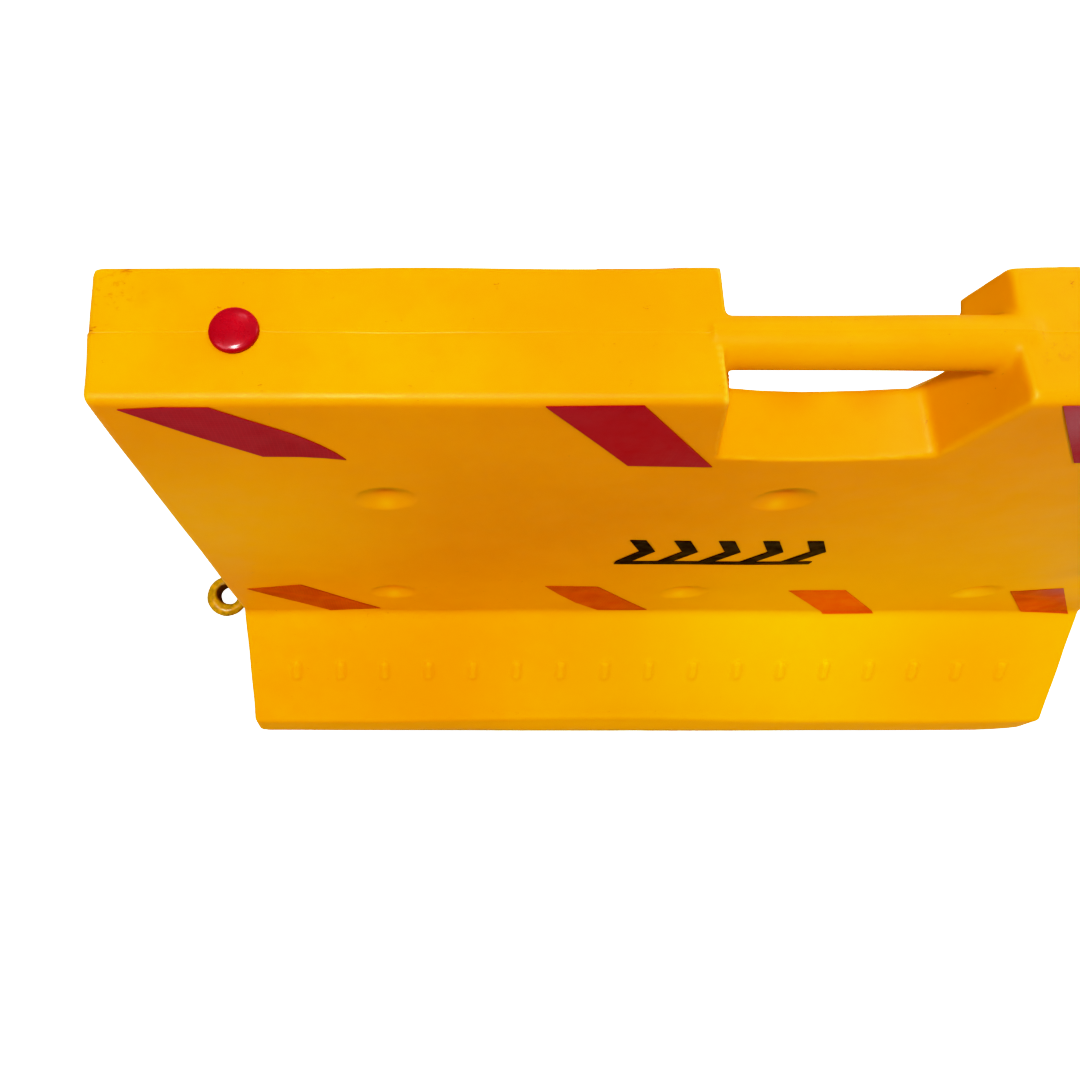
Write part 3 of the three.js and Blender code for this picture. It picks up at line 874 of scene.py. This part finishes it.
def yellow_plastic():
    """Weathered yellow polyethylene: clouded colour, specks, grime, painted broad shade and light, painted
    shade and highlight in the dimples, painted highlights along edges, painted shade on the lip and a
    slightly wavy skin.
    """
    n = Nodes("yellow_polyethylene")
    cloud = n.noise(5.0, 3.0)
    base = n.mix(n.ramp(cloud, (0.35, 0.0), (0.65, 1.0)), (0.90, 0.350, 0.0), (0.955, 0.410, 0.0))
    mottled = n.mix(n.ramp(n.noise(45.0, 4.0, 0.6), (0.42, 0.0), (0.75, 0.25)), base, (0.89, 0.315, 0.0))
    grime_field = n.ramp(n.noise(120.0, 5.0, 0.65), (0.70, 0.0), (0.78, 1.0))
    grime_area = n.ramp(n.noise(3.2, 2.0), (0.45, 0.0), (0.70, 0.55))
    grimy = n.mix(n.math("MULTIPLY", grime_field, grime_area), mottled, (0.46, 0.15, 0.004))
    warp = n.mix(0.012, n.where, n.add("ShaderNodeTexNoise", Scale=260.0, Detail=2.0).outputs["Color"], "ADD")
    warp = n.mix(1.0, warp, (0.006, 0.006, 0.006), "SUBTRACT")
    speckled = grimy
    for scale, size, share, colour in SPECKS:
        cells = n.add("ShaderNodeTexVoronoi", Scale=scale, Randomness=1.0)
        n.feed(cells.inputs["Vector"], warp)
        dot = n.ramp(cells.outputs["Distance"], (size * 0.4, 0.85), (size, 0.0))
        chosen = n.ramp(cells.outputs["Color"], (share, 0.0), (share + 0.12, 1.0))
        speckled = n.mix(n.math("MULTIPLY", dot, chosen), speckled, colour)
    shaded = speckled
    # broad patches are painted shade and light, small ones are stains and marks
    for point, radius, share, colour in STAINS_AND_PAINTED_SHADING:
        broken = n.math("MULTIPLY", n.near(point, radius, warp if radius < 20 else None), share)
        shaded = n.mix(broken, shaded, colour)
    # painted shade on each dimple's upper side and painted highlight on its lower side
    for x in DISH_X:
        for z in DISH_Z:
            for up, inward, radius, share, colour in DISH_PAINTED_SHADE_AND_HIGHLIGHT:
                crescent = n.near((x, panel_y(z) + inward, z + up), radius)
                shaded = n.mix(n.math("MULTIPLY", crescent, share), shaded, colour)
    # painted highlight along the notch's left edge
    for point in NOTCH_EDGE_PAINTED_HIGHLIGHT:
        shaded = n.mix(n.math("MULTIPLY", n.near(point, 4.5), 0.55), shaded, (1.0, 0.66, 0.16))
    for point, radius, share in SCUFFS:
        torn = n.ramp(n.noise(190.0, 5.0, 0.7), (0.56, 0.0), (0.64, 1.0))
        scraped = n.math("MULTIPLY", n.math("MULTIPLY", n.near(point, radius), torn), share)
        shaded = n.mix(scraped, shaded, (0.42, 0.15, 0.01))
    # sharp convex edges painted paler: a painted highlight along the edges
    corner = n.tree.nodes.new("ShaderNodeNewGeometry").outputs["Pointiness"]
    painted_edge_highlight = n.math("MULTIPLY", n.ramp(corner, (0.512, 0.0), (0.545, 1.0)), 0.50)
    shaded = n.mix(painted_edge_highlight, shaded, (1.0, 0.52, 0.03))
    height = n.tree.nodes.new("ShaderNodeSeparateXYZ")
    n.feed(height.inputs[0], n.where)
    # darker towards the bottom: painted shade on the lip
    low = n.add("ShaderNodeMapRange", From_Min=0.080, From_Max=0.094, To_Min=0.55, To_Max=0.0)
    n.feed(low.inputs["Value"], height.outputs["Z"])
    shaded = n.mix(low.outputs["Result"], shaded, (0.80, 0.42, 0.01))
    # bounced light picks up a darker copy of the colour, which dims the light passed from face to face
    bounced = n.tree.nodes.new("ShaderNodeLightPath").outputs["Is Diffuse Ray"]
    n.set(Base_Color=n.mix(bounced, shaded, (0.66, 0.36, 0.03)))
    rough = n.ramp(n.noise(18.0, 4.0, 0.6), (0.3, 0.42), (0.7, 0.54))
    n.set(Roughness=rough, IOR=1.5)
    dusty = n.add("ShaderNodeMapRange", From_Min=0.15, From_Max=0.25, To_Min=0.10, To_Max=0.30)
    n.feed(dusty.inputs["Value"], height.outputs["Z"])
    n.set(Specular_IOR_Level=dusty.outputs["Result"])
    n.shader.inputs["Subsurface Weight"].default_value = 0.12
    n.shader.inputs["Subsurface Radius"].default_value = (0.010, 0.004, 0.001)
    n.shader.inputs["Subsurface Scale"].default_value = 1.0
    scratch = n.add("ShaderNodeMapping", Scale=(4.0, 60.0, 60.0), Rotation=(0.3, 0.2, 0.25))
    n.feed(scratch.inputs["Vector"], n.where)
    scuffs = n.ramp(n.noise(9.0, 6.0, 0.7, scratch.outputs["Vector"]), (0.62, 0.0), (0.70, 1.0))
    n.bump(
        (n.noise(30.0, 3.0), 0.35, 0.0010),
        (n.noise(420.0, 2.0), 0.16, 0.0002),
        (scuffs, 0.10, 0.0002),
    )
    return n.material


def tape_material(name, dark, light):
    """Retroreflective film: fine prismatic cells under a clear glossy face."""
    n = Nodes(name)
    cells = n.add("ShaderNodeTexVoronoi", Scale=330.0, Randomness=0.08)
    cells.feature = "DISTANCE_TO_EDGE"
    n.feed(cells.inputs["Vector"], n.where)
    web = n.ramp(cells.outputs["Distance"], (0.03, 1.0), (0.12, 0.0))
    body = n.mix(n.ramp(n.noise(26.0, 4.0), (0.35, 0.0), (0.7, 1.0)), dark, light)
    cellular = n.mix(n.math("MULTIPLY", web, 0.2), body, tuple(min(1.0, c * 1.5 + 0.02) for c in light))
    tinted = cellular
    # shifts in the film's colour, and two painted pink reflections
    for point, radius, share, colour in FILM_TINTS_AND_PAINTED_REFLECTIONS:
        tinted = n.mix(n.math("MULTIPLY", n.near(point, radius), share), tinted, colour)
    n.set(Base_Color=tinted)
    n.set(Roughness=n.ramp(n.noise(60.0, 3.0), (0.35, 0.30), (0.7, 0.42)), Specular_IOR_Level=0.2)
    n.bump((n.noise(22.0, 3.0), 0.25, 0.0008), (web, 0.12, 0.00015))
    return n.material


def plug_material():
    n = Nodes("red_gloss_plastic")
    cloud = n.ramp(n.noise(60.0, 3.0), (0.35, 0.0), (0.7, 1.0))
    n.set(Base_Color=n.mix(cloud, (0.43, 0.014, 0.032), (0.49, 0.018, 0.040)))
    n.set(Roughness=n.ramp(n.noise(140.0, 4.0), (0.4, 0.26), (0.75, 0.36)))
    n.set(Coat_Weight=0.3, Coat_Roughness=0.18)
    n.shader.inputs["Subsurface Weight"].default_value = 0.1
    n.shader.inputs["Subsurface Radius"].default_value = (0.004, 0.0006, 0.0006)
    n.shader.inputs["Subsurface Scale"].default_value = 1.0
    n.bump((n.noise(90.0, 3.0), 0.25, 0.0005), (n.noise(900.0, 2.0), 0.08, 0.0001))
    return n.material


def print_material():
    n = Nodes("black_print")
    worn = n.ramp(n.noise(170.0, 6.0, 0.7), (0.66, 0.0), (0.74, 1.0))
    n.set(Base_Color=n.mix(n.math("MULTIPLY", worn, 0.5), (0.006, 0.006, 0.009), (0.35, 0.14, 0.01)))
    n.set(Specular_IOR_Level=0.12)
    n.set(Roughness=n.ramp(n.noise(80.0, 3.0), (0.4, 0.32), (0.7, 0.5)))
    n.bump((n.noise(400.0, 3.0), 0.12, 0.0001))
    return n.material


# distance from the middle of the barrier to the centre of each eye's hole, round whose inner edge shade is
# painted dark, in metres
EYE_HOLE_SHADE_CENTRE_X = 0.5534


def painted_steel():
    """Yellow paint worn through to brown oxidised steel, with shade painted dark round the inside of the
    eye's hole.
    """
    n = Nodes("worn_yellow_steel")
    patches = n.noise(75.0, 6.0, 0.65)
    edge = n.tree.nodes.new("ShaderNodeNewGeometry").outputs["Pointiness"]
    wear = n.math("ADD", patches, n.math("MULTIPLY", n.math("SUBTRACT", edge, 0.5), 2.0))
    bare = n.ramp(wear, (0.60, 0.0), (0.74, 1.0))
    thin = n.ramp(n.noise(160.0, 4.0), (0.35, 0.0), (0.7, 1.0))
    paint = n.mix(thin, (0.42, 0.22, 0.010), (0.62, 0.35, 0.015))
    flaky = n.ramp(n.noise(240.0, 5.0, 0.7), (0.4, 0.0), (0.65, 1.0))
    rust = n.mix(flaky, (0.16, 0.07, 0.015), (0.36, 0.18, 0.03))
    apart = n.tree.nodes.new("ShaderNodeSeparateXYZ")
    n.feed(apart.inputs[0], n.where)
    along = n.math("SUBTRACT", n.math("ABSOLUTE", apart.outputs["X"]), EYE_HOLE_SHADE_CENTRE_X)
    squares = n.math("ADD", n.math("POWER", along, 2.0), n.math("POWER", apart.outputs["Y"], 2.0))
    reach = n.math("SQRT", squares)
    # painted shade: near-black round the inner edge of the eye's hole
    painted_hole_shade = n.add("ShaderNodeMapRange", From_Min=0.0118, From_Max=0.0155, To_Min=0.9, To_Max=0.0)
    n.feed(painted_hole_shade.inputs["Value"], reach)
    n.set(Base_Color=n.mix(painted_hole_shade.outputs["Result"], n.mix(bare, paint, rust), (0.05, 0.018, 0.004)))
    n.set(Roughness=n.mix(bare, (0.34, 0.34, 0.34), (0.62, 0.62, 0.62)))
    n.set(Metallic=n.math("MULTIPLY", bare, 0.35))
    n.bump((bare, 0.5, 0.0003), (n.noise(500.0, 5.0, 0.7), 0.35, 0.0003))
    return n.material


def bare_metal(name, dark, light, roughness):
    n = Nodes(name)
    streaks = n.add("ShaderNodeMapping", Scale=(1.0, 18.0, 1.0))
    n.feed(streaks.inputs["Vector"], n.where)
    grain = n.noise(260.0, 4.0, 0.6, streaks.outputs["Vector"])
    n.set(Base_Color=n.mix(grain, dark, light), Metallic=0.95)
    n.set(Roughness=n.ramp(n.noise(140.0, 4.0), (0.3, roughness - 0.08), (0.7, roughness + 0.12)))
    n.bump((grain, 0.15, 0.0001), (n.noise(700.0, 3.0), 0.15, 0.0001))
    return n.material


def rubber():
    n = Nodes("black_rubber")
    n.set(Base_Color=n.mix(n.noise(200.0, 4.0), (0.012, 0.012, 0.013), (0.03, 0.03, 0.032)))
    n.set(Roughness=n.ramp(n.noise(300.0, 3.0), (0.3, 0.62), (0.7, 0.8)))
    n.bump((n.noise(1200.0, 3.0), 0.3, 0.0002))
    return n.material


def floor_material():
    """Pale to the eye, but darker to bounced light, as a floor much larger than the lit spot would be."""
    n = Nodes("pale_floor")
    pale = n.mix(n.noise(1.5, 3.0), (0.86, 0.86, 0.86), (0.88, 0.88, 0.88))
    seen = n.tree.nodes.new("ShaderNodeLightPath").outputs["Is Camera Ray"]
    n.set(Base_Color=n.mix(seen, (0.42, 0.42, 0.42), pale), Roughness=0.9, Specular_IOR_Level=0.0)
    n.set(Emission_Color=(1.0, 1.0, 1.0), Emission_Strength=n.math("MULTIPLY", seen, 1.1))
    return n.material


def dress(obj, material):
    obj.data.materials.clear()
    obj.data.materials.append(material)
    return obj


def stand_for(obj, node, body, material):
    dress(obj, material)
    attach(obj, body)
    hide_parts(node)
    return obj


# ---- Put together --------------------------------------------------------

YELLOW = yellow_plastic()
RED_TAPE = tape_material("red_reflective_tape", (0.43, 0.026, 0.042), (0.49, 0.034, 0.050))
ORANGE_TAPE = tape_material("orange_reflective_tape", (0.52, 0.082, 0.008), (0.62, 0.112, 0.008))
PLUG = plug_material()
PRINT = print_material()
STEEL = painted_steel()
ZINC = bare_metal("zinc_plate", (0.42, 0.42, 0.43), (0.62, 0.62, 0.60), 0.34)
BRASS = bare_metal("turned_brass", (0.45, 0.30, 0.10), (0.66, 0.47, 0.18), 0.30)
RUBBER = rubber()

shell = moulded_body()
stand_for(shell, "barrier_body", "shell", YELLOW)
skin = BVHTree.FromObject(shell, bpy.context.evaluated_depsgraph_get())

for side in ("front", "back"):
    for label, outline in TAPES:
        name = f"{side}_{label}"
        upper = label.startswith("upper")
        moved = MOVED_TAPE_SHIFT if name == MOVED_TAPE else 0
        strip = sheet(name + "_film", [[(x + moved, z) for x, z in outline]], skin, side, 4.0)
        slot, film = ("red_tape", RED_TAPE) if upper else ("orange_tape", ORANGE_TAPE)
        stand_for(strip, name, "shell", film)
    mark = sheet(f"{side}_chevron_print", chevron_polygons(), skin, side, 12.0)
    stand_for(mark, f"{side}_chevron_mark", "shell", PRINT)

quarter_turn = Matrix.Rotation(math.pi / 2, 4, "Y")
filler_turn = Matrix.Translation(Vector((FILLER_X, 0, HEIGHT + CAP_LIFT)) * MM)
drain_turn = Matrix.Translation(Vector((HALF_LENGTH + CAP_LIFT, DRAIN_Y, DRAIN_Z)) * MM) @ quarter_turn
stand_for(plug_cap("fill_plug_cap", 16.2, 4.4, filler_turn), "fill_plug", "fill_plug", PLUG)
stand_for(plug_cap("drain_plug_cap", 15.0, 5.4, drain_turn), "drain_plug", "drain_plug", PLUG)
filler_seal_turn = Matrix.Translation((0, 0, -SEAL_SINK * MM)) @ filler_turn
drain_seal_turn = Matrix.Translation((-SEAL_SINK * MM, 0, 0)) @ drain_turn
filler_seal = seal_ring("fill_plug_gasket", 15.5, 13.5, 1.4, filler_seal_turn)
drain_seal = seal_ring("drain_plug_gasket", 14.0, 10.5, 1.4, drain_seal_turn)
stand_for(filler_seal, "fill_plug_seal", "fill_plug", RUBBER)
stand_for(drain_seal, "drain_plug_seal", "drain_plug", RUBBER)

for side, sign in (("left", -1), ("right", 1)):
    turn = Matrix.Translation(Vector((sign * HALF_LENGTH, 0, EYE_Z[side])) * MM)
    if sign < 0:
        turn = turn @ Matrix.Rotation(math.pi, 4, "Z")
    eye = join(f"{side}_eye_forging", [
        eye_ring(EYE_REACH, EYE_RING, EYE_ROD),
        threaded_rod(-30.0, 20.0, ROD_RADIUS, THREAD_PITCH, THREAD_DEPTH),
    ])
    eye.data.transform(turn)
    smooth_shade(eye)
    stand_for(eye, f"{side}_eye_bolt", f"{side}_eye", STEEL)
    nut = hex_nut(f"{side}_locking_nut", 24.0, 8.0, 3.6, 11.6)
    nut.data.transform(turn)
    stand_for(nut, f"{side}_jam_nut", f"{side}_eye", ZINC)
    washer_turn = turn @ Matrix.Translation((WASHER_LIFT * MM, 0, 0)) @ quarter_turn
    washer = seal_ring(f"{side}_plain_washer", 17.0, 8.0, 3.0, washer_turn)
    stand_for(washer, f"{side}_eye_washer", f"{side}_eye", ZINC)
    dress(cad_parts[f"{side}_threaded_insert"], BRASS)

# ---- Floor, light and camera ---------------------------------------------

floor_mesh = bpy.data.meshes.new("floor")
floor_mesh.from_pydata([(-30, -30, 0), (30, -30, 0), (30, 30, 0), (-30, 30, 0)], [], [(0, 1, 2, 3)])
floor = link("floor", floor_mesh)
dress(floor, floor_material())


def sun_light(name, power, spread, direction):
    data = bpy.data.lights.new(name, "SUN")
    data.energy = power
    data.angle = math.radians(spread)
    lamp = bpy.data.objects.new(name, data)
    bpy.context.scene.collection.objects.link(lamp)
    lamp.location = (0, 0, 3)
    lamp.rotation_euler = Vector(direction).to_track_quat("-Z", "Y").to_euler()
    return lamp


def window_light(name, size, power, direction, distance):
    """Softbox seen only in reflections, aimed at the middle of the barrier."""
    data = bpy.data.lights.new(name, "AREA")
    data.shape = "RECTANGLE"
    data.size, data.size_y = size
    data.energy = power
    lamp = bpy.data.objects.new(name, data)
    lamp.visible_diffuse = False
    bpy.context.scene.collection.objects.link(lamp)
    aim = Vector((-0.1, 0, 0.6))
    lamp.location = aim + Vector(direction).normalized() * distance
    lamp.rotation_euler = (aim - lamp.location).to_track_quat("-Z", "Y").to_euler()
    return lamp


# scene light to shown light, with a soft shoulder that ends at WHITE
WHITE = 1.6
TONE = ((0.045, 0.005), (0.30, 0.225), (0.57, 0.49), (0.72, 0.71), (0.95, 0.86), (1.27, 0.95))
sun_light("key_softbox", 2.75, 10.0, (0.08, 0.28, -0.955))
sun_light("back_fill", 0.45, 40.0, (-0.50, -0.60, -0.62)).visible_glossy = False
sun_light("rear_fill", 1.10, 30.0, (-0.50, -0.85, -0.15)).visible_glossy = False
window_light("left_window", (1.3, 1.1), 12.0, (-0.62, -0.28, 0.73), 2.6)
window_light("front_strip", (2.4, 0.6), 1.0, (0.1, -0.60, 0.80), 2.6)
window_light("right_window", (0.9, 0.7), 7.0, (0.79, 0.41, 0.45), 2.6)
window_light("back_spot", (0.35, 0.25), 2.4, (-0.11, 0.72, 0.69), 2.6)
SKY_LIGHT, SKY_REFLECTED, SKY_SEEN = 0.46, 0.12, 1.8
world = bpy.data.worlds.new("studio")
world.use_nodes = True
sky = world.node_tree
paths = sky.nodes.new("ShaderNodeLightPath")
level = sky.nodes.new("ShaderNodeMapRange")
level.inputs["To Min"].default_value = SKY_LIGHT
level.inputs["To Max"].default_value = SKY_REFLECTED
sky.links.new(paths.outputs["Is Glossy Ray"], level.inputs["Value"])
seen = sky.nodes.new("ShaderNodeMix")
seen.inputs[3].default_value = SKY_SEEN
sky.links.new(paths.outputs["Is Camera Ray"], seen.inputs[0])
sky.links.new(level.outputs["Result"], seen.inputs[2])
sky.links.new(seen.outputs[0], sky.nodes["Background"].inputs["Strength"])
sky.nodes["Background"].inputs["Color"].default_value = (1.0, 1.0, 1.0, 1.0)
bpy.context.scene.world = world
grade = bpy.context.scene.view_settings
grade.view_transform = "Standard"
grade.use_curve_mapping = True
grade.curve_mapping.white_level = (WHITE, WHITE, WHITE)
tone = grade.curve_mapping.curves[3]
for x, y in TONE:
    tone.points.new(x / WHITE, y)
grade.curve_mapping.update()

# place in metres, tilt from straight down in degrees, lens and sensor in millimetres
CAMERA_PLACE = (-0.2936, -0.3034, 1.2797)
CAMERA_TILT = 14.92
LENS, SENSOR = 30.78, 36.0
SHIFT = (0.1145, 0.0343)


def shift_only_at(camera, axis, value, place_x):
    """Lens shift that holds at the photograph's viewpoint and is zero from any other."""
    curve = camera.data.driver_add(axis)
    driver = curve.driver
    driver.type = "SUM"
    variable = driver.variables.new()
    variable.type = "TRANSFORMS"
    variable.targets[0].id = camera
    variable.targets[0].transform_type = "LOC_X"
    variable.targets[0].transform_space = "WORLD_SPACE"
    for modifier in list(curve.modifiers):
        curve.modifiers.remove(modifier)
    corners = ((-0.002, 0.0), (-0.001, value), (0.001, value), (0.002, 0.0))
    curve.keyframe_points.add(len(corners))
    for key, (x, y) in zip(curve.keyframe_points, corners):
        key.co = (place_x + x, y)
        key.interpolation = "LINEAR"


camera_data = bpy.data.cameras.new("camera")
camera = bpy.data.objects.new("camera", camera_data)
bpy.context.scene.collection.objects.link(camera)
camera.location = CAMERA_PLACE
camera.rotation_euler = (math.radians(CAMERA_TILT), 0, 0)
camera_data.lens = LENS
camera_data.sensor_width = SENSOR
camera_data.clip_start = 0.01
camera_data.shift_x, camera_data.shift_y = SHIFT
bpy.context.scene.camera = camera
shift_only_at(camera, "shift_x", SHIFT[0], CAMERA_PLACE[0])
shift_only_at(camera, "shift_y", SHIFT[1], CAMERA_PLACE[0])
